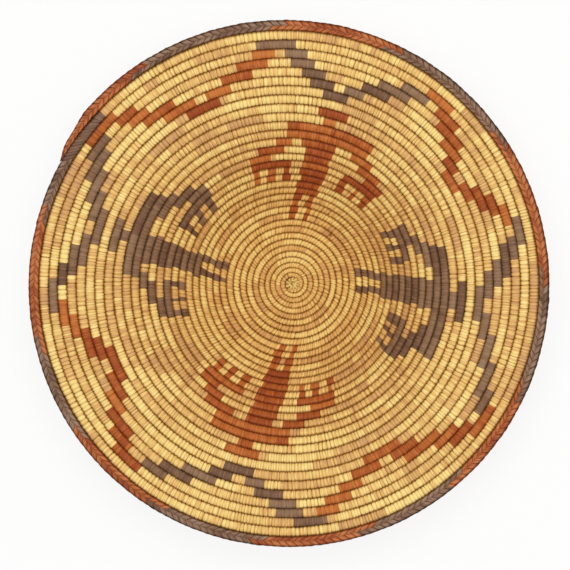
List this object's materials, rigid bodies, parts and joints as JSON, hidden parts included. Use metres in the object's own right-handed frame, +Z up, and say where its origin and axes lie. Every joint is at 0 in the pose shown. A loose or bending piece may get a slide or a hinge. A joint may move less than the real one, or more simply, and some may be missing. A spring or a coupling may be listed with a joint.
{
  "type": "coiled basket tray",
  "caption": "Shallow coiled basket tray: a flat-bottomed bowl with a wide flaring rim, sewn splint rows over a rod foundation and a braided two-colour edge.",
  "frame": {"origin": "middle of the start knot's flat underside, on the surface that the tray stands on", "axes": "+Z up, out of the bowl; the picture's right is +X and its top is +Y; the coil runs outward anticlockwise seen from above"},
  "size_m": [0.3995, 0.4033, 0.0679],
  "materials": {
    "natural_splint": "undyed peeled splint, satin, colour varying from splint to splint",
    "start_splint": "undyed peeled splint, satin",
    "rust_splint": "splint dyed rust, satin",
    "brown_splint": "splint dyed dark brown, satin",
    "peeled_rod": "peeled rod, matt"
  },
  "bodies": {
    "root": {"start_knot": "start_splint", "foundation_rods": "peeled_rod", "stitching_row_01": "natural_splint", "stitching_row_02": "natural_splint", "stitching_row_03": "natural_splint", "stitching_row_04": "natural_splint", "stitching_row_05": "natural_splint", "stitching_row_06": "natural_splint", "stitching_row_07": "natural_splint", "stitching_row_08": "natural_splint", "stitching_row_09": "natural_splint", "stitching_row_10": "natural_splint", "stitching_row_11": "natural_splint", "stitching_row_12": "natural_splint", "stitching_row_13": "natural_splint", "stitching_row_14": "natural_splint", "stitching_row_15": "natural_splint", "stitching_row_16": "natural_splint", "stitching_row_17": "natural_splint", "stitching_row_18": "natural_splint", "stitching_row_19": "natural_splint", "stitching_row_20": "natural_splint", "stitching_row_21": "natural_splint", "stitching_row_22": "natural_splint", "stitching_row_23": "natural_splint", "stitching_row_24": "natural_splint", "stitching_row_25": "natural_splint", "stitching_row_26": "natural_splint", "stitching_row_27": "natural_splint", "stitching_row_28": "natural_splint", "stitching_row_29": "natural_splint", "stitching_row_30": "natural_splint", "stitching_row_31": "natural_splint", "stitching_row_32": "natural_splint", "stitching_row_33": "natural_splint", "stitching_row_34": "natural_splint", "rim_start_wrap": "brown_splint", "rim_braid_01_brown": "brown_splint", "rim_braid_02_rust": "rust_splint", "rim_braid_03_brown": "brown_splint", "rim_braid_04_rust": "rust_splint", "rim_braid_05_brown": "brown_splint", "rim_braid_06_rust": "rust_splint", "rim_braid_07_brown": "brown_splint", "rim_braid_08_rust": "rust_splint", "rim_braid_09_brown": "brown_splint", "rim_braid_10_rust": "rust_splint", "rim_braid_11_brown": "brown_splint", "rim_braid_12_rust": "rust_splint", "rim_braid_13_brown": "brown_splint", "rim_braid_14_rust": "rust_splint"}
  },
  "joints": []
}
